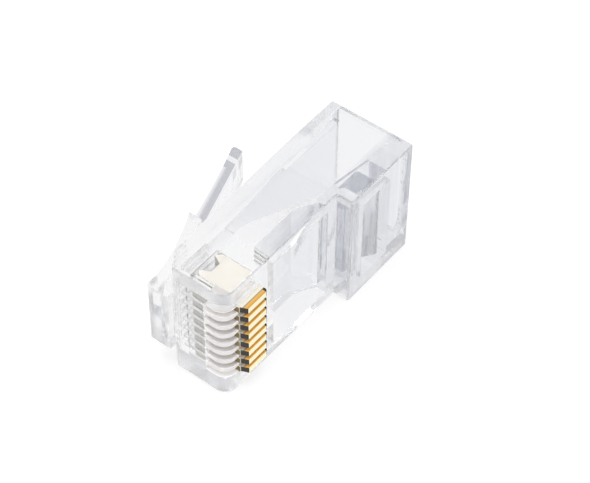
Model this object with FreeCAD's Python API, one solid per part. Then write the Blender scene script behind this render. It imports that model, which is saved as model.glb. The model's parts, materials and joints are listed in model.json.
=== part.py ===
import FreeCAD, Part
import os

# Modular plug with eight contacts, lying on one side wall, in millimetres.
# Every piece is drawn from one datum corner: x runs from the latch side to the
# contact side, y from the nose to the cable end, z up from the side wall that
# the plug lies on. place() then moves it all to the origin of the part.

# Housing, outside.
LENGTH = 21.46
WIDTH = 11.68
FRONT_HEIGHT = 6.50
REAR_HEIGHT = 8.00
REAR_BLOCK_LENGTH = 8.00
NOSE_DRAFT = 0.38
DRAFT_LENGTH = 14.60
NOSE_CHAMFER_X = 1.07
NOSE_CHAMFER_Y = 1.40
NOSE_RADIUS = 1.15
EDGE_RADIUS = 0.20

# Contacts, and the slots that hold them.
CONTACT_COUNT = 8
PITCH = 1.016
CONTACT_THICKNESS = 0.58
CONTACT_PROUD = 0.80
CONTACT_FRONT = 1.35
CONTACT_DEPTH = 2.70
CONTACT_LEDGE = 0.10
CONTACT_LEAN = 0.25
LEDGE_RISE = 0.20
FRONT_CORNER = 0.08
REAR_CORNER = 0.26
PRONG_WIDTH = 0.85
PRONG_HEIGHT = 0.85
TIP_CLEARANCE = 0.10
CRIMP_TRAVEL = 1.20
SLOT_CLEARANCE = 0.02
SLOT_END_CLEARANCE = 0.06
SLOT_MOUTH_DEPTH = 2.05

# Flat bay behind the nose that the eight wires lie in, side by side.
WIRE_DIAMETER = 0.94
WIRE_X = 1.95
BAY_FRONT = 0.95
RIB_DEPTH = 0.45
RIB_THICKNESS = 0.16
RIB_END_MARGIN = 0.40

# Cable cavity. Its ramp ends a little behind the step, and its funnel as far
# in front of it.
SIDE_WALL = 1.00
LATCH_WALL = 0.92
CONTACT_WALL = 2.10
BAR_WALL = 2.60
CAVITY_CORNER = 0.65
MOUTH_FLARE = 0.90
MOUTH_DEPTH = 1.10
RAMP_OVERRUN = 0.52
RAMP_LENGTH = 7.40
RAMP_EASE = 0.25
FUNNEL_LENGTH = 4.20
FUNNEL_EASE = 0.50
FUNNEL_MARGIN = 0.14

# Recess in the contact side, between the contacts and the step.
RECESS_FRONT = 5.65
RECESS_SIDE_WALL = 1.10
RECESS_DEPTH = 1.90
RECESS_END_DEPTH = 0.84
RECESS_RAMP_LENGTH = 2.15
RECESS_STEP_WALL = 1.10
RECESS_DRAFT = 0.10

# Window in the rear block, and the clamp bar that swings in it.
WINDOW_SETBACK = 1.55
WINDOW_LENGTH = 3.50
WINDOW_SIDE_WALL = 1.55
BAR_LENGTH = 2.52
BAR_SIDE_GAP = 0.65
BAR_RECESS = 0.05
BAR_SHELF_DROP = 1.07
BAR_SHELF_LENGTH = 1.10
BAR_HINGE_RADIUS = 0.35
BAR_SEAT_CLEARANCE = 0.03
BAR_CORNER = 0.30

# Latch: its root on the nose, its shoulder and its tongue.
ROOT_FRONT = 0.70
ROOT_OUTER = 0.60
ROOT_REACH = 1.45
LATCH_WIDTH = 6.20
LATCH_HINGE_Y = 0.55
LATCH_HINGE_RADIUS = 0.45
LATCH_SEAT_CLEARANCE = 0.03
SHOULDER_Y = 6.94
SHOULDER_OUTER = 2.80
SHOULDER_THICKNESS = 1.20
TONGUE_WIDTH = 3.25
TONGUE_THICKNESS = 1.05
TONGUE_BEND_Y = 12.20
TONGUE_BEND_OUTER = 4.26
TONGUE_END_Y = 15.70
TONGUE_END_OUTER = 5.65
TONGUE_ROUND = 0.25

# A cut starts this far outside the face that it opens.
OUTSIDE = 1.0

MID_Z = WIDTH / 2
STEP_Y = LENGTH - REAR_BLOCK_LENGTH
CONTACT_OUTER = FRONT_HEIGHT + CONTACT_PROUD
BAY_FLOOR = WIRE_X - WIRE_DIAMETER / 2
BAY_TOP = WIRE_X + WIRE_DIAMETER / 2
TIP_X = BAY_TOP + TIP_CLEARANCE
CONTACT_REAR = CONTACT_FRONT + CONTACT_DEPTH
RAMP_TOP = STEP_Y + RAMP_OVERRUN
RAMP_END = RAMP_TOP - RAMP_LENGTH
WINDOW_FRONT = STEP_Y + WINDOW_SETBACK
WINDOW_REAR = WINDOW_FRONT + WINDOW_LENGTH
BAR_INNER = REAR_HEIGHT - BAR_WALL
BAR_HINGE_X = BAR_INNER + BAR_HINGE_RADIUS
BAR_HINGE_Y = WINDOW_FRONT + BAR_SEAT_CLEARANCE
LATCH_HINGE_X = LATCH_HINGE_RADIUS - ROOT_OUTER


def vec(x, y, z=0.0):
    return FreeCAD.Vector(x, y, z)


def box(x0, x1, y0, y1, z0, z1):
    return Part.makeBox(x1 - x0, y1 - y0, z1 - z0, vec(x0, y0, z0))


def cylinder(x, y, radius, z0, z1):
    return Part.makeCylinder(radius, z1 - z0, vec(x, y, z0), vec(0, 0, 1))


def line(a, b):
    return Part.LineSegment(a, b).toShape()


def s_curve(a, b, along, ease):
    """Smooth step from a to b that leaves and arrives along one direction. More ease makes it gentler."""
    reach = along * (abs((b - a).dot(along)) * ease)
    curve = Part.BezierCurve()
    curve.setPoles([a, a + reach, b - reach, b])
    return curve.toShape()


def bow(a, bend, b):
    """Curve from a to b that is pulled towards the point bend."""
    curve = Part.BezierCurve()
    curve.setPoles([a, bend, b])
    return curve.toShape()


def extrude_z(edges, z0, z1):
    face = Part.Face(Part.Wire(edges))
    face.translate(vec(0, 0, z0))
    return face.extrude(vec(0, 0, z1 - z0))


def extrude_polygon(points, z0, z1):
    corners = [vec(x, y) for x, y in points]
    edges = [line(a, b) for a, b in zip(corners, corners[1:] + corners[:1])]
    return extrude_z(edges, z0, z1)


def upright_edges(shape, x, y):
    """Edges along z that pass through the point x, y."""
    found = []
    for edge in shape.Edges:
        low, high = edge.BoundBox.ZMin, edge.BoundBox.ZMax
        near = vec(edge.BoundBox.Center.x, edge.BoundBox.Center.y).distanceToPoint(vec(x, y)) < 0.01
        if near and high - low > 0.1:
            found.append(edge)
    return found


def round_upright(shape, x, y, radius):
    edges = upright_edges(shape, x, y)
    return shape.makeFillet(radius, edges) if edges else shape


def contact_centres():
    first = MID_Z - PITCH * (CONTACT_COUNT - 1) / 2
    return [first + PITCH * index for index in range(CONTACT_COUNT)]


# Housing

def housing_block():
    """Outer form: tapered nose, rounded contact corner, step and rear block."""
    chamfer_end = NOSE_DRAFT + NOSE_CHAMFER_X
    points = [
        (0, LENGTH),
        (0, NOSE_CHAMFER_Y + DRAFT_LENGTH),
        (NOSE_DRAFT, NOSE_CHAMFER_Y),
        (chamfer_end, 0),
        (FRONT_HEIGHT, 0),
        (FRONT_HEIGHT, STEP_Y),
        (REAR_HEIGHT, STEP_Y),
        (REAR_HEIGHT, LENGTH),
    ]
    block = extrude_polygon(points, 0, WIDTH)
    block = round_upright(block, FRONT_HEIGHT, 0, NOSE_RADIUS)
    for x, y in ((0, LENGTH), (REAR_HEIGHT, LENGTH), (REAR_HEIGHT, STEP_Y)):
        block = round_upright(block, x, y, EDGE_RADIUS)
    rim = [edge for edge in block.Edges if edge.BoundBox.ZLength < 0.01]
    return block.makeChamfer(EDGE_RADIUS / 2, rim)


def latch_root():
    """Lug on the nose that the latch springs from, hollowed to seat it."""
    low = MID_Z - LATCH_WIDTH / 2
    high = MID_Z + LATCH_WIDTH / 2
    seat = LATCH_HINGE_RADIUS + LATCH_SEAT_CLEARANCE
    points = [
        (-ROOT_OUTER, -ROOT_FRONT),
        (ROOT_REACH, -ROOT_FRONT),
        (ROOT_REACH, NOSE_CHAMFER_Y / 2),
        (NOSE_DRAFT + NOSE_CHAMFER_X / 4, NOSE_CHAMFER_Y),
        (LATCH_HINGE_X + seat, LATCH_HINGE_Y),
        (-ROOT_OUTER, LATCH_HINGE_Y),
    ]
    root = extrude_polygon(points, low, high)
    outer_edges = upright_edges(root, -ROOT_OUTER, -ROOT_FRONT)
    root = root.makeFillet(EDGE_RADIUS, outer_edges)
    return root.cut(cylinder(LATCH_HINGE_X, LATCH_HINGE_Y, seat, low - OUTSIDE, high + OUTSIDE))


def cavity_side():
    """Cable cavity seen from the side wall: latch wall, ramp and mouth."""
    contact_side = REAR_HEIGHT - CONTACT_WALL
    mouth = LENGTH - MOUTH_DEPTH
    front = RAMP_END - PITCH / 2
    out = LENGTH + OUTSIDE
    slope = MOUTH_FLARE / MOUTH_DEPTH * OUTSIDE
    a = vec(BAY_FLOOR, front)
    b = vec(BAY_TOP, front)
    c = vec(BAY_TOP, RAMP_END)
    d = vec(BAR_INNER, RAMP_TOP)
    e = vec(BAR_INNER, WINDOW_FRONT)
    f = vec(contact_side, WINDOW_REAR)
    g = vec(contact_side, mouth)
    h = vec(contact_side + MOUTH_FLARE, LENGTH)
    i = vec(contact_side + MOUTH_FLARE + slope, out)
    j = vec(LATCH_WALL - MOUTH_FLARE / 4, out)
    k = vec(LATCH_WALL - MOUTH_FLARE / 4, LENGTH)
    m = vec(LATCH_WALL, mouth - MOUTH_DEPTH)
    edges = [line(a, b), line(b, c), s_curve(c, d, vec(0, 1), RAMP_EASE), line(d, e), line(e, f)]
    edges += [line(f, g), bow(g, vec(contact_side, (mouth + LENGTH) / 2), h), line(h, i)]
    edges += [line(i, j), line(j, k), line(k, m), line(m, a)]
    return extrude_z(edges, 0, WIDTH)


def cavity_plan():
    """Cable cavity seen from the contact side: funnel between the side walls."""
    half_front = PITCH * CONTACT_COUNT / 2 + FUNNEL_MARGIN
    half_rear = WIDTH / 2 - SIDE_WALL
    funnel_end = STEP_Y - RAMP_OVERRUN
    funnel_start = funnel_end - FUNNEL_LENGTH
    front = RAMP_END - PITCH
    out = LENGTH + OUTSIDE

    def side(sign):
        z_front = MID_Z + sign * half_front
        z_rear = MID_Z + sign * half_rear
        return [
            vec(0, front, z_front),
            vec(0, funnel_start, z_front),
            vec(0, funnel_end, z_rear),
            vec(0, out, z_rear),
        ]

    low = side(-1)
    high = side(1)
    edges = [line(low[0], low[1]), s_curve(low[1], low[2], vec(0, 1), FUNNEL_EASE), line(low[2], low[3])]
    edges += [line(low[3], high[3]), line(high[3], high[2])]
    edges += [s_curve(high[1], high[2], vec(0, 1), FUNNEL_EASE), line(high[1], high[0]), line(high[0], low[0])]
    return Part.Face(Part.Wire(Part.__sortEdges__(edges))).extrude(vec(REAR_HEIGHT, 0, 0))


def corner_fill(z_wall, sign):
    """Bevel that fills a long corner of the cavity beside the latch wall."""
    reach = LATCH_WALL + CAVITY_CORNER
    points = [
        vec(0, STEP_Y, z_wall),
        vec(reach, STEP_Y, z_wall),
        vec(LATCH_WALL, STEP_Y, z_wall + sign * CAVITY_CORNER),
        vec(0, STEP_Y, z_wall + sign * CAVITY_CORNER),
    ]
    edges = [line(p, q) for p, q in zip(points, points[1:] + points[:1])]
    face = Part.Face(Part.Wire(edges))
    return face.extrude(vec(0, LENGTH - MOUTH_DEPTH - STEP_Y, 0))


def cable_cavity():
    cavity = cavity_side().common(cavity_plan())
    cavity = cavity.cut(corner_fill(SIDE_WALL, 1))
    return cavity.cut(corner_fill(WIDTH - SIDE_WALL, -1))


def wire_bay():
    """Flat bay for the wires, with ribs on its contact side that part them under the contacts."""
    centres = contact_centres()
    low = centres[0] - WIRE_DIAMETER / 2
    high = centres[-1] + WIRE_DIAMETER / 2
    bay = box(BAY_FLOOR, BAY_TOP, BAY_FRONT, RAMP_END, low, high)
    rib_end = CONTACT_REAR + RIB_END_MARGIN
    half = RIB_THICKNESS / 2
    ribs = []
    for z in centres[1:]:
        between = z - PITCH / 2
        ribs.append(box(BAY_TOP - RIB_DEPTH, BAY_TOP, BAY_FRONT, rib_end, between - half, between + half))
    return bay.cut(ribs)


def contact_slots():
    """Slots for the contacts, open on the contact side and through the nose."""
    slots = []
    half = CONTACT_THICKNESS / 2 + SLOT_CLEARANCE
    front = CONTACT_FRONT - SLOT_END_CLEARANCE
    rear = CONTACT_REAR + SLOT_END_CLEARANCE
    floor = TIP_X - CRIMP_TRAVEL - SLOT_END_CLEARANCE
    top = FRONT_HEIGHT + OUTSIDE
    mouth = FRONT_HEIGHT - SLOT_MOUTH_DEPTH
    for z in contact_centres():
        slots.append(box(floor, top, front, rear, z - half, z + half))
        slots.append(box(mouth, top, -OUTSIDE, rear, z - half, z + half))
    return slots


def recess():
    """Recess behind the contacts, with a floor that rises towards the step as the cavity does inside."""
    rear = STEP_Y - RECESS_STEP_WALL
    floor = FRONT_HEIGHT - RECESS_DEPTH
    out = FRONT_HEIGHT + OUTSIDE
    front = vec(floor, RECESS_FRONT + RECESS_DRAFT)
    ramp_start = vec(floor, rear - RECESS_RAMP_LENGTH)
    bend = vec(floor, ramp_start.y + RECESS_RAMP_LENGTH / 4)
    ramp_end = vec(FRONT_HEIGHT - RECESS_END_DEPTH, rear)
    rear_out = vec(out, rear + RECESS_DRAFT)
    front_out = vec(out, RECESS_FRONT)
    edges = [line(front, ramp_start), bow(ramp_start, bend, ramp_end), line(ramp_end, rear_out)]
    edges += [line(rear_out, front_out), line(front_out, front)]
    return extrude_z(edges, RECESS_SIDE_WALL, WIDTH - RECESS_SIDE_WALL)


def window():
    """Opening in the rear block, with a round seat for the clamp bar's hinge."""
    low = WINDOW_SIDE_WALL
    high = WIDTH - WINDOW_SIDE_WALL
    opening = box(BAR_INNER - OUTSIDE, REAR_HEIGHT + OUTSIDE, WINDOW_FRONT, WINDOW_REAR, low, high)
    seat = BAR_HINGE_RADIUS + BAR_SEAT_CLEARANCE
    return opening.fuse(cylinder(BAR_HINGE_X, BAR_HINGE_Y, seat, low, high))


def make_housing():
    body = housing_block().fuse(latch_root())
    body = body.cut(cable_cavity())
    body = body.cut(recess())
    body = body.cut(window())
    return body.cut([wire_bay()] + contact_slots()).removeSplitter()


# Clamp bar

def make_clamp_bar():
    """Bar that the crimp tool swings onto the cable: a wedge hinged at its front edge."""
    low = WINDOW_SIDE_WALL + BAR_SIDE_GAP
    high = WIDTH - WINDOW_SIDE_WALL - BAR_SIDE_GAP
    outer = REAR_HEIGHT - BAR_RECESS
    shelf = REAR_HEIGHT - BAR_SHELF_DROP
    rear = BAR_HINGE_Y + BAR_LENGTH
    points = [
        (BAR_INNER, BAR_HINGE_Y),
        (BAR_INNER, rear),
        (outer, rear),
        (shelf, BAR_HINGE_Y + BAR_SHELF_LENGTH),
        (shelf, BAR_HINGE_Y),
    ]
    bar = extrude_polygon(points, low, high)
    bar = round_upright(bar, outer, rear, BAR_CORNER / 2)
    bar = round_upright(bar, BAR_INNER, rear, BAR_CORNER)
    bar = round_upright(bar, shelf, BAR_HINGE_Y, BAR_CORNER)
    return bar.fuse(cylinder(BAR_HINGE_X, BAR_HINGE_Y, BAR_HINGE_RADIUS, low, high)).removeSplitter()


# Contacts

def contact_profile():
    """Blade with a ledge at its leaning front and two piercing prongs at its foot."""
    front = CONTACT_FRONT
    rear = CONTACT_REAR
    ledge = FRONT_HEIGHT + LEDGE_RISE
    root = TIP_X + PRONG_HEIGHT
    tip = PRONG_WIDTH / 2
    return [
        (TIP_X, front + tip),
        (TIP_X + tip, front),
        (ledge, front),
        (ledge, front + CONTACT_LEDGE),
        (CONTACT_OUTER, front + CONTACT_LEDGE + CONTACT_LEAN),
        (CONTACT_OUTER, rear),
        (TIP_X + tip, rear),
        (TIP_X, rear - tip),
        (root, rear - PRONG_WIDTH),
        (root, front + PRONG_WIDTH),
    ]


def make_contact(z):
    half = CONTACT_THICKNESS / 2
    blade = extrude_polygon(contact_profile(), z - half, z + half)
    front = CONTACT_FRONT + CONTACT_LEDGE + CONTACT_LEAN
    blade = round_upright(blade, CONTACT_OUTER, front, FRONT_CORNER)
    return round_upright(blade, CONTACT_OUTER, CONTACT_REAR, REAR_CORNER)


# Latch lever

def latch_plate():
    """Wide part of the latch, from its hinge to the locking shoulder."""
    low = MID_Z - LATCH_WIDTH / 2
    high = MID_Z + LATCH_WIDTH / 2
    hinge = vec(LATCH_HINGE_X, LATCH_HINGE_Y)
    outer_start = vec(-ROOT_OUTER, LATCH_HINGE_Y)
    inner_start = vec(LATCH_HINGE_X + LATCH_HINGE_RADIUS, LATCH_HINGE_Y)
    outer_end = vec(-SHOULDER_OUTER, SHOULDER_Y)
    inner_end = vec(SHOULDER_THICKNESS - SHOULDER_OUTER, SHOULDER_Y)
    pull = vec(-ROOT_OUTER - (SHOULDER_OUTER - ROOT_OUTER) / 4, (LATCH_HINGE_Y + SHOULDER_Y) / 2)
    edges = [
        bow(outer_start, pull, outer_end),
        line(outer_end, inner_end),
        line(inner_end, inner_start),
        line(inner_start, hinge),
        line(hinge, outer_start),
    ]
    plate = extrude_z(edges, low, high)
    return plate.fuse(cylinder(hinge.x, hinge.y, LATCH_HINGE_RADIUS, low, high))


def latch_tongue():
    """Narrow finger tongue that runs on from the shoulder and bends away."""
    low = MID_Z - TONGUE_WIDTH / 2
    high = MID_Z + TONGUE_WIDTH / 2
    thick = vec(TONGUE_THICKNESS, 0)
    start = vec(-SHOULDER_OUTER, SHOULDER_Y)
    bend = vec(-TONGUE_BEND_OUTER, TONGUE_BEND_Y)
    end = vec(-TONGUE_END_OUTER, TONGUE_END_Y)
    edges = [
        bow(start, bend, end),
        line(end, end + thick),
        bow(end + thick, bend + thick, start + thick),
        line(start + thick, start),
    ]
    tongue = extrude_z(edges, low, high)
    tongue = round_upright(tongue, end.x, end.y, TONGUE_ROUND)
    return round_upright(tongue, end.x + TONGUE_THICKNESS, end.y, TONGUE_ROUND)


def make_latch_lever():
    return latch_plate().fuse(latch_tongue()).removeSplitter()


# Placing and writing

def place(shape):
    """Put the origin at the centre of the side wall that the plug lies on."""
    shape.translate(vec(-REAR_HEIGHT / 2, -LENGTH / 2))
    return shape


def write_part(name, shape):
    solids = shape.Solids
    whole = solids[0] if len(solids) == 1 else Part.makeCompound(solids)
    place(whole).exportStep(os.path.join("parts", name + ".step"))
    print(name, len(solids), "solid", round(whole.Volume, 3), "mm3", whole.isValid())


os.makedirs("parts", exist_ok=True)
write_part("housing", make_housing())
write_part("latch_lever", make_latch_lever())
write_part("clamp_bar", make_clamp_bar())
for number, centre in enumerate(contact_centres(), start=1):
    write_part("contact_%d" % number, make_contact(centre))
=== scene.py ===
import json
import math

import bmesh
import bpy
from mathutils import Matrix, Vector


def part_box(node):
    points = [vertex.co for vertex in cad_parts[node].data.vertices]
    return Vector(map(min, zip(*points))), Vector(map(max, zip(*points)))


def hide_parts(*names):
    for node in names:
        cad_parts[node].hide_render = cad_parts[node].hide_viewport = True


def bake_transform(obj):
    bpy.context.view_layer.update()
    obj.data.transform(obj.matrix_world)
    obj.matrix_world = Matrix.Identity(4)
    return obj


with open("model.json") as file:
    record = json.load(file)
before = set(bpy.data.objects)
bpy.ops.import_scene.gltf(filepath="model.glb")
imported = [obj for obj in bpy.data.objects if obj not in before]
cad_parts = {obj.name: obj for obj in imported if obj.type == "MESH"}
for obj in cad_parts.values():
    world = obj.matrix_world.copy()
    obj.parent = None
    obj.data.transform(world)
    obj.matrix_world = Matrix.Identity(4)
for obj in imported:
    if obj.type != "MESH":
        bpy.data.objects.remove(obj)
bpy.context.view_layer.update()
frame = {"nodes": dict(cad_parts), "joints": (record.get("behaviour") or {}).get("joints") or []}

MM = 0.001
WHITE = (1.0, 1.0, 1.0, 1.0)

# Colour sockets of a Mix node, by number, because the node has several of the same name.
MIX_BELOW = 6
MIX_ABOVE = 7
MIX_RESULT = 2

# Camera, as in the photograph: what it looks at, from where, and how long the lens is.
CAMERA_TARGET = Vector((0.0, -0.03, 5.84)) * MM
CAMERA_AZIMUTH = math.radians(37.848)
CAMERA_ELEVATION = math.radians(48.773)
CAMERA_ROLL = math.radians(0.464)
CAMERA_DISTANCE = 149.643 * MM
CAMERA_LENS = 116.436
CAMERA_SHIFT_X = 0.01158
CAMERA_SHIFT_Y = 0.01552
CAMERA_CLIP_START = 5 * MM

# Clear plastic: how it bends light, its polish, and the flow waves left by the mould.
PLASTIC_IOR = 1.585
POLISH = 0.055
HAZE_SCALE = 900.0
HAZE_DETAIL = 3.0
WAVE_SCALE = 250.0
WAVE_DETAIL = 1.0
WAVE_STRENGTH = 0.04
WAVE_HEIGHT = 0.001 * MM

# Colour of the plastic: a faint tint, changed over the part by painted light and painted shade that stand in
# for the tones reflections give:
# lighter at the nose, darker in the places listed below.
PLASTIC_TINT = (0.915, 0.92, 0.935, 1.0)
# Painted light: the nose is drawn lighter than the rest.
NOSE_PAINTED_LIGHT = (0.975, 0.975, 0.978, 1.0)
NOSE_PAINTED_LIGHT_Y = -6.0 * MM
NOSE_PAINTED_LIGHT_FADE = 4.0 * MM
# Painted shade colour, for the places listed below.
PAINTED_SHADE_COLOUR = (0.77, 0.78, 0.815, 1.0)

# Places with painted shade: the recess beside the contacts, the end of the latch wall, and strips across the
# rear block.
RECESS_Y = -4.6 * MM
RECESS_Z = 1.2 * MM
RECESS_SHADE_SHARE = 0.6
WALL_END_X = -3.15 * MM
WALL_END_Y = 6.1 * MM
WALL_END_Z = 9.0 * MM
REAR_X = 1.7 * MM
REAR_Y = 2.8 * MM
STRIP_SCALE = 900.0
STRIP_DETAIL = 0.0
STRIP_LEVEL = 0.5
STRIP_GAP_SHADE_SHARE = 0.4

# Painted shade in bands on the latch tongue. They follow the straight line from its shoulder to its tip,
# x = -TONGUE_OFFSET - TONGUE_LEAN * y, and start and end this far in from it.
TONGUE_PAINTED_SHADE = (0.36, 0.37, 0.42, 1.0)
TONGUE_LEAN = 0.325
TONGUE_OFFSET = 8.035 * MM
TONGUE_SHADE_START = 0.15 * MM
TONGUE_SHADE_FADE = 0.35 * MM
TONGUE_SHADE_END = 1.0 * MM
TONGUE_TIP_Y = 2.7 * MM
TONGUE_CLEAR_BAND = (3.45 * MM, 3.95 * MM)
TONGUE_X = -5.2 * MM
TONGUE_Y = -3.75 * MM
TONGUE_Z = 5.84 * MM

# Milky mouths of the contact slots.
MILKY_COLOUR = (1.0, 0.97, 0.96, 1.0)
MILKY_SHARE = 0.65
MOUTH_DEPTH = 2.90 * MM
MOUTH_MARGIN = 0.10 * MM

# Gold plating at the outer edge of each contact, painted pale on its outer face as a highlight, and painted
# darker on the top contact's open side as shade.
PLATING_WIDTH = 0.38 * MM
GOLD_COLOUR = (1.0, 0.70, 0.28, 1.0)
GOLD_EDGE_COLOUR = (1.0, 0.54, 0.08, 1.0)
# Painted shade: the top contact's open side is drawn darker.
OPEN_SIDE_SHADE_GOLD = (0.72, 0.46, 0.15, 1.0)
OPEN_SIDE_SHADE_EDGE = (0.50, 0.22, 0.01, 1.0)
# Painted highlight: faces that face outwards are drawn pale, and fully metallic.
PAINTED_HIGHLIGHT_GOLD = (1.0, 0.95, 0.66, 1.0)
PAINTED_HIGHLIGHT_FACING = 0.5
GOLD_ROUGHNESS = 0.16
GOLD_METALLIC = 0.2
PAINTED_HIGHLIGHT_METALLIC = 1.0

# Thin dark border on both sides of the line where the plating ends.
BORDER_WIDTH = 0.06 * MM
BORDER_COLOUR = (0.25, 0.20, 0.12, 1.0)
BORDER_SHARE = 0.8

# Blade of each contact further in than the plating, a little darker where it stands out of the plastic.
BLADE_COLOUR = (0.90, 0.865, 0.78, 1.0)
BARE_COLOUR = (0.74, 0.70, 0.60, 1.0)
BARE_REACH = 0.80 * MM
BLADE_ROUGHNESS = 0.42
GRAIN_SCALE = 3000.0
GRAIN_DETAIL = 4.0
GRAIN_ROUGHNESS = 0.12

# Sheared faces in front and behind, painted with shade: black beside the plating, and brown on the ledge
# further in.
# The rear end of the plating is painted black as shade too.
SHEAR_FACING = 0.35
SHEAR_REACH = 1.10 * MM
END_FACE_SHADE_COLOUR = (0.02, 0.012, 0.006, 1.0)
LEDGE_REACH = 0.62 * MM
LEDGE_SHADE_COLOUR = (0.22, 0.16, 0.06, 1.0)
REAR_REACH = 0.22 * MM

# Latch: the web that joins it to the housing, and where that web is cut off on the outside.
WEB_RADIUS = 0.482 * MM
WEB_SEGMENTS = 64
LATCH_OUTER = -4.60 * MM
MERGE_DISTANCE = 0.0005 * MM

# Floor: matt, and shown almost white to the camera.
FLOOR_SIZE = 600 * MM
FLOOR_GAP = 0.02 * MM
FLOOR_COLOUR = (0.9, 0.9, 0.9, 1.0)
FLOOR_WHITE_SHARE = 0.8

# Softbox almost straight above.
LAMP_ELEVATION = math.radians(85)
LAMP_DISTANCE = 300 * MM
LAMP_SIZE = 200 * MM
LAMP_WATTS = 1.0

# Sky: how bright it is on average, how much brighter behind the plug than in front, and how much less above.
SKY_LEVEL = 0.76
SKY_SLOPE = 0.22
SKY_TOP_LOSS = 0.10
SKY_TOP_POWER = 3.0
SKY_BLUE = 1.01

# Light crosses the clear walls many times before it leaves the plug.
MOST_BOUNCES = 128


class Socket:
    """A node's output that Python's operators work on: each one adds a Math node."""

    def __init__(self, nodes, output):
        self.nodes = nodes
        self.output = output

    def other(self, name):
        """Another output of the same node."""
        return Socket(self.nodes, self.output.node.outputs[name])

    def maths(self, operation, *values):
        """A Math node on this output and the values."""
        return self.nodes.add("ShaderNodeMath", {"operation": operation}, [self, *values])

    def __add__(self, other):
        return self.maths("ADD", other)

    def __radd__(self, other):
        return self.maths("ADD", other)

    def __sub__(self, other):
        return self.maths("SUBTRACT", other)

    def __rsub__(self, other):
        return self.maths("MULTIPLY_ADD", -1.0, other)

    def __mul__(self, other):
        return self.maths("MULTIPLY", other)

    def __rmul__(self, other):
        return self.maths("MULTIPLY", other)

    def __gt__(self, other):
        return self.maths("GREATER_THAN", other)

    def __lt__(self, other):
        return self.maths("LESS_THAN", other)


class Nodes:
    """A material's or world's node tree, built one node at a time."""

    def __init__(self, owner):
        owner.use_nodes = True
        self.tree = owner.node_tree
        self.tree.nodes.clear()

    def add(self, kind, settings=None, inputs=None):
        """Adds a node with its settings and its sockets' values or links, and gives its first output."""
        node = self.tree.nodes.new(kind)
        for name, value in (settings or {}).items():
            setattr(node, name, value)
        pairs = enumerate(inputs) if isinstance(inputs, list) else (inputs or {}).items()
        for key, value in pairs:
            if isinstance(value, Socket):
                self.tree.links.new(value.output, node.inputs[key])
            else:
                node.inputs[key].default_value = value
        return Socket(self, node.outputs[0]) if node.outputs else None


def material(name):
    made = bpy.data.materials.new(name)
    return made, Nodes(made)


def surface_out(nodes, shader):
    nodes.add("ShaderNodeOutputMaterial", {}, {"Surface": shader})


def noise(nodes, position, scale, detail):
    return nodes.add("ShaderNodeTexNoise", {}, {"Vector": position, "Scale": scale, "Detail": detail})


def split(nodes, vector):
    """X, Y and Z of a vector."""
    parts = nodes.add("ShaderNodeSeparateXYZ", {}, [vector])
    return parts, parts.other("Y"), parts.other("Z")


def blend_colours(nodes, factor, below, above):
    """A Mix of two colours, each a value or a socket."""
    inputs = {"Factor": factor, MIX_BELOW: below, MIX_ABOVE: above}
    return nodes.add("ShaderNodeMix", {"data_type": "RGBA"}, inputs).other(MIX_RESULT)


def slot_mouths(nodes, position):
    """Mask of the ribs and walls in front of the contacts."""
    low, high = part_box("contact_1")
    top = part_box("contact_8")[1].z
    x, y, z = split(nodes, position)
    across = (z > low.z - MOUTH_MARGIN) * (z < top + MOUTH_MARGIN)
    return (y < low.y + MOUTH_MARGIN) * (x > high.x - MOUTH_DEPTH) * across


def painted_shade_places(nodes, position):
    """How much painted shade darkens the plastic, from 0 to 1."""
    x, y, z = split(nodes, position)
    contact_side = x > REAR_X
    recess = contact_side * (y > RECESS_Y) * (z > RECESS_Z) * RECESS_SHADE_SHARE
    wall_end = (x < WALL_END_X) * (y > WALL_END_Y) * (z > WALL_END_Z)
    along = nodes.add("ShaderNodeCombineXYZ", {}, {"Y": y})
    strips = noise(nodes, along, STRIP_SCALE, STRIP_DETAIL) > STRIP_LEVEL
    rear = contact_side * (y > REAR_Y) * (strips * (1 - STRIP_GAP_SHADE_SHARE) + STRIP_GAP_SHADE_SHARE)
    return rear.maths("MAXIMUM", wall_end).maths("MAXIMUM", recess)


def tongue_shade(nodes, position):
    """Painted shade in dark bands along the latch tongue: its inner half and its tip, with a clear band
    across the tip.
    """
    x, y, z = split(nodes, position)
    inwards = x + y * TONGUE_LEAN + TONGUE_OFFSET
    dark = (inwards - TONGUE_SHADE_START) * (1 / TONGUE_SHADE_FADE)
    dark = dark.maths("MINIMUM", 1.0).maths("MAXIMUM", y > TONGUE_TIP_Y)
    clear = (y > TONGUE_CLEAR_BAND[0]) * (y < TONGUE_CLEAR_BAND[1])
    tongue = (x < TONGUE_X) * (y > TONGUE_Y) * (z > TONGUE_Z)
    return tongue * (dark - clear) * (inwards < TONGUE_SHADE_END)


def plastic_tint_and_painted_shade(nodes, position):
    """Colour of the clear plastic from nose to rear: painted light at the nose, and painted shade in the
    recess, at the wall end, across the rear block and in the tongue's bands.
    """
    y = split(nodes, position)[1]
    # Painted light towards the nose.
    shaded_tint = blend_colours(nodes, (y - NOSE_PAINTED_LIGHT_Y) * (1 / NOSE_PAINTED_LIGHT_FADE), NOSE_PAINTED_LIGHT, PLASTIC_TINT)
    # Painted shade in the recess, at the wall end and across the rear block.
    shaded_tint = blend_colours(nodes, painted_shade_places(nodes, position), shaded_tint, PAINTED_SHADE_COLOUR)
    # Painted shade in the tongue's bands.
    return blend_colours(nodes, tongue_shade(nodes, position), shaded_tint, TONGUE_PAINTED_SHADE)


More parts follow.
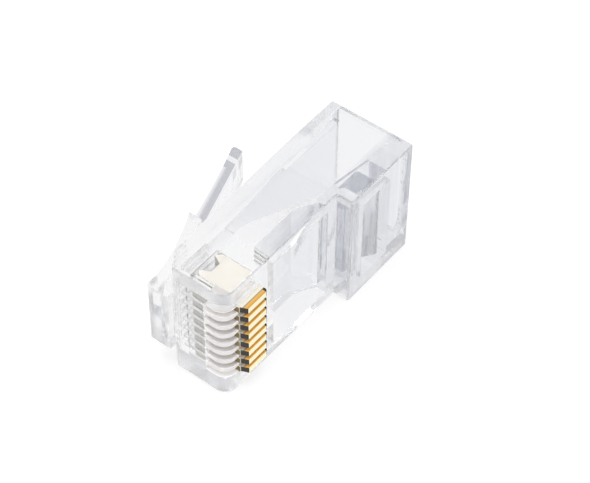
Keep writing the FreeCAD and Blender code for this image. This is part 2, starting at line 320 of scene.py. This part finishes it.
def clear_plastic():
    """Polished polycarbonate, faintly tinted, with painted light and shade over the part and flow waves,
    milky in the mouths of the contact slots.
    """
    made, nodes = material("clear_plastic")
    position = nodes.add("ShaderNodeTexCoord").other("Object")
    haze = noise(nodes, position, HAZE_SCALE, HAZE_DETAIL)
    waves = noise(nodes, position, WAVE_SCALE, WAVE_DETAIL)
    bump = {"Strength": WAVE_STRENGTH, "Distance": WAVE_HEIGHT, "Height": waves}
    clear = nodes.add("ShaderNodeBsdfPrincipled", {}, {
        "Base Color": plastic_tint_and_painted_shade(nodes, position),
        "Roughness": POLISH + haze * POLISH,
        "IOR": PLASTIC_IOR,
        "Transmission Weight": 1.0,
        "Normal": nodes.add("ShaderNodeBump", {}, bump),
    })
    milky = nodes.add("ShaderNodeBsdfDiffuse", {}, {"Color": MILKY_COLOUR})
    share = slot_mouths(nodes, position) * MILKY_SHARE
    surface_out(nodes, nodes.add("ShaderNodeMixShader", {}, [share, clear, milky]))
    return made


def gold_colour(nodes, position, painted_highlight):
    """Plating, deeper towards its outer edge, painted darker as shade on the top contact's open side, and
    painted pale as a highlight on faces that face outwards.
    """
    x, _, z = split(nodes, position)
    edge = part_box("contact_1")[1].x - PLATING_WIDTH
    outwards = (x - edge) * (1 / PLATING_WIDTH)
    gold = blend_colours(nodes, outwards, GOLD_COLOUR, GOLD_EDGE_COLOUR)
    shaded_open_gold = blend_colours(nodes, outwards, OPEN_SIDE_SHADE_GOLD, OPEN_SIDE_SHADE_EDGE)
    # Painted shade on the top contact's open side.
    open_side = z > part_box("contact_8")[1].z - BORDER_WIDTH
    gold = blend_colours(nodes, open_side, gold, shaded_open_gold)
    # Painted highlight on the faces that face outwards.
    return blend_colours(nodes, painted_highlight, gold, PAINTED_HIGHLIGHT_GOLD)


def shaded_end_faces(nodes, position, normal):
    """Mask of the faces sheared in front and behind, and of the rear end of the plating, where shade is
    painted.
    """
    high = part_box("contact_1")[1]
    x, y, _ = split(nodes, position)
    facing = split(nodes, normal)[1].maths("ABSOLUTE")
    sheared = (facing > SHEAR_FACING) * (x > high.x - SHEAR_REACH)
    # The plating's rear end gets painted shade too.
    behind = (y > high.y - REAR_REACH) * (x > high.x - PLATING_WIDTH)
    return sheared.maths("MAXIMUM", behind)


def contact_metal():
    """Blade metal: bright gold at the outer edge with a painted highlight on its outer faces, pale on the
    inner blade, and painted shade on the sheared ends.
    """
    made, nodes = material("contact_gold")
    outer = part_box("contact_1")[1].x
    edge = outer - PLATING_WIDTH
    coordinates = nodes.add("ShaderNodeTexCoord")
    position = coordinates.other("Object")
    normal = coordinates.other("Normal")
    x = split(nodes, position)[0]
    plated = x > edge
    # Faces that face outwards get the painted highlight.
    painted_highlight = split(nodes, normal)[0] > PAINTED_HIGHLIGHT_FACING
    blade = blend_colours(nodes, x > outer - BARE_REACH, BLADE_COLOUR, BARE_COLOUR)
    colour = blend_colours(nodes, plated, blade, gold_colour(nodes, position, painted_highlight))
    border = (x > edge - BORDER_WIDTH) * (x < edge + BORDER_WIDTH)
    colour = blend_colours(nodes, border * BORDER_SHARE, colour, BORDER_COLOUR)
    # Painted shade on the faces in front and behind, and on the plating's rear end.
    end_shade = blend_colours(nodes, x > outer - LEDGE_REACH, LEDGE_SHADE_COLOUR, END_FACE_SHADE_COLOUR)
    colour = blend_colours(nodes, shaded_end_faces(nodes, position, normal), colour, end_shade)
    grain = noise(nodes, position, GRAIN_SCALE, GRAIN_DETAIL)
    polish = plated * (BLADE_ROUGHNESS - GOLD_ROUGHNESS)
    surface_out(nodes, nodes.add("ShaderNodeBsdfPrincipled", {}, {
        "Base Color": colour,
        "Roughness": BLADE_ROUGHNESS - polish + grain * GRAIN_ROUGHNESS,
        "Metallic": plated * (painted_highlight * (PAINTED_HIGHLIGHT_METALLIC - GOLD_METALLIC) + GOLD_METALLIC),
    }))
    return made


def floor_material():
    """Matt white floor that looks white itself and through the plastic, and keeps a faint shadow."""
    made, nodes = material("floor_white")
    matt = nodes.add("ShaderNodeBsdfDiffuse", {}, {"Color": FLOOR_COLOUR})
    white = nodes.add("ShaderNodeEmission", {}, {"Color": WHITE, "Strength": 1.0})
    path = nodes.add("ShaderNodeLightPath")
    bent = path.other("Is Glossy Ray").maths("MAXIMUM", path.other("Is Transmission Ray"))
    seen = path.other("Is Camera Ray") * FLOOR_WHITE_SHARE
    shown = nodes.add("ShaderNodeMixShader", {}, [bent, matt, white])
    surface_out(nodes, nodes.add("ShaderNodeMixShader", {}, [seen, shown, white]))
    return made


def merged_copy(node):
    """A CAD node's mesh as a closed bmesh."""
    mesh = bmesh.new()
    mesh.from_mesh(frame["nodes"][node].data)
    bmesh.ops.remove_doubles(mesh, verts=mesh.verts, dist=MERGE_DISTANCE)
    return mesh


def new_object(name, mesh):
    data = bpy.data.meshes.new(name)
    mesh.to_mesh(data)
    mesh.free()
    made = bpy.data.objects.new(name, data)
    bpy.context.scene.collection.objects.link(made)
    return made


def dress(mesh, made):
    """Gives a mesh its one material."""
    mesh.materials.clear()
    mesh.materials.append(made)


def latch_web():
    """Plastic that joins the latch's round root to its seat on the nose."""
    hinge = next(joint for joint in frame["joints"] if joint["name"] == "latch_flex")
    low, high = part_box("latch_lever")
    centre = Vector(hinge["pos_m"])
    centre.z = low.z
    place = Matrix.Translation(centre)
    mesh = bmesh.new()
    bmesh.ops.create_circle(mesh, cap_ends=True, segments=WEB_SEGMENTS, radius=WEB_RADIUS, matrix=place)
    for point, outward in (((LATCH_OUTER, 0, 0), (-1, 0, 0)), (centre, (0, 1, 0))):
        parts = mesh.verts[:] + mesh.edges[:] + mesh.faces[:]
        bmesh.ops.bisect_plane(mesh, geom=parts, plane_co=point, plane_no=outward, clear_outer=True)
    raised = bmesh.ops.extrude_face_region(mesh, geom=mesh.faces[:])["geom"]
    top = [part for part in raised if isinstance(part, bmesh.types.BMVert)]
    bmesh.ops.translate(mesh, verts=top, vec=(0, 0, high.z - low.z))
    bmesh.ops.recalc_face_normals(mesh, faces=mesh.faces[:])
    return mesh


def join(body, parts):
    """Unites the parts with the body in one closed mesh, and removes them."""
    for part in parts:
        union = body.modifiers.new(part.name, "BOOLEAN")
        union.operation = "UNION"
        union.solver = "EXACT"
        union.object = part
    graph = bpy.context.evaluated_depsgraph_get()
    joined = bpy.data.meshes.new_from_object(body.evaluated_get(graph))
    body.modifiers.clear()
    body.data = joined
    for part in parts:
        bpy.data.objects.remove(part)


def moulding(plastic):
    """Housing and latch as the one clear moulding that they are."""
    body = new_object("plug_moulding", merged_copy("housing"))
    latch = new_object("latch_part", merged_copy("latch_lever"))
    web = new_object("web_part", latch_web())
    join(body, [latch, web])
    dress(body.data, plastic)
    body.data.shade_flat()
    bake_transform(body)
    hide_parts("housing", "latch_lever")


def stage_floor():
    mesh = bmesh.new()
    bmesh.ops.create_grid(mesh, size=FLOOR_SIZE / 2, matrix=Matrix.Translation((0, 0, -FLOOR_GAP)))
    floor = new_object("floor", mesh)
    dress(floor.data, floor_material())


def place_facing(thing, turn, distance):
    """Puts a camera or lamp at a distance from the plug, facing it."""
    thing.location = CAMERA_TARGET + turn @ Vector((0, 0, distance))
    thing.rotation_euler = turn.to_euler()
    bpy.context.scene.collection.objects.link(thing)


def add_camera():
    data = bpy.data.cameras.new("camera")
    data.lens = CAMERA_LENS
    data.shift_x = CAMERA_SHIFT_X
    data.shift_y = CAMERA_SHIFT_Y
    data.clip_start = CAMERA_CLIP_START
    camera = bpy.data.objects.new("camera", data)
    turn = Matrix.Rotation(CAMERA_AZIMUTH, 3, "Z") @ Matrix.Rotation(math.pi / 2 - CAMERA_ELEVATION, 3, "X")
    place_facing(camera, turn @ Matrix.Rotation(CAMERA_ROLL, 3, "Z"), CAMERA_DISTANCE)
    bpy.context.scene.camera = camera


def add_lamp():
    """Softbox that lights the plug and isn't seen in its outer faces."""
    data = bpy.data.lights.new("top_softbox", "AREA")
    data.size = LAMP_SIZE
    data.energy = LAMP_WATTS
    lamp = bpy.data.objects.new("top_softbox", data)
    lamp.visible_glossy = False
    place_facing(lamp, Matrix.Rotation(math.pi / 2 - LAMP_ELEVATION, 3, "X"), LAMP_DISTANCE)


def add_world():
    world = bpy.data.worlds.new("studio")
    bpy.context.scene.world = world
    nodes = Nodes(world)
    _, y, z = split(nodes, nodes.add("ShaderNodeTexCoord").other("Generated"))
    top_loss = z.maths("MAXIMUM", 0.0).maths("POWER", SKY_TOP_POWER) * SKY_TOP_LOSS
    level = y * SKY_SLOPE + SKY_LEVEL - top_loss
    shade = nodes.add("ShaderNodeCombineColor", {}, [level, level, level * SKY_BLUE])
    sky = nodes.add("ShaderNodeBackground", {}, {"Color": shade, "Strength": 1.0})
    nodes.add("ShaderNodeOutputWorld", {}, {"Surface": sky})


plastic = clear_plastic()
metal = contact_metal()

moulding(plastic)
dress(frame["nodes"]["clamp_bar"].data, plastic)
for name, node in frame["nodes"].items():
    if name.startswith("contact_"):
        dress(node.data, metal)

stage_floor()
add_camera()
add_lamp()
add_world()

scene = bpy.context.scene
scene.view_settings.view_transform = "Standard"
scene.cycles.max_bounces = MOST_BOUNCES
scene.cycles.glossy_bounces = MOST_BOUNCES
scene.cycles.transmission_bounces = MOST_BOUNCES
